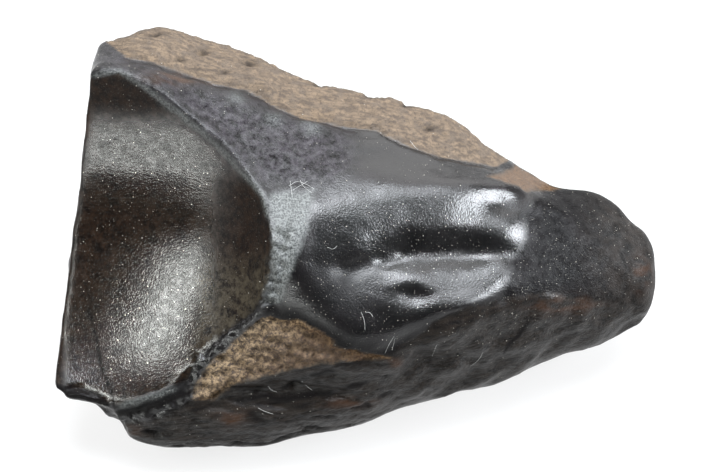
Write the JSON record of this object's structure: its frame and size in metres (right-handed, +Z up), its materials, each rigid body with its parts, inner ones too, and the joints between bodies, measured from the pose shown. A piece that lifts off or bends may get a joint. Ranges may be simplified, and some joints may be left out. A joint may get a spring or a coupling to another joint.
{
  "type": "fossil tooth",
  "caption": "Worn shed crown of a horned dinosaur's tooth, dark and glossy, with a scooped wear facet, a cutting edge, bands of bare dentine and a blunt root stub, lying on its back",
  "frame": {"origin": "centre of the bounding box in X and Y, on the floor that the tooth lies on in Z", "axes": "+X from the worn crown end to the root tip, +Z up as it lies; its broad side faces -Y and up"},
  "size_m": [0.0242, 0.014, 0.0134],
  "materials": {
    "fossil_enamel": "dark brown-black fossil enamel, finely grained and glossy, with matte tan dentine laid bare along the top and below the wear facet"
  },
  "bodies": {
    "root": {"shed_tooth": "fossil_enamel"}
  },
  "joints": []
}
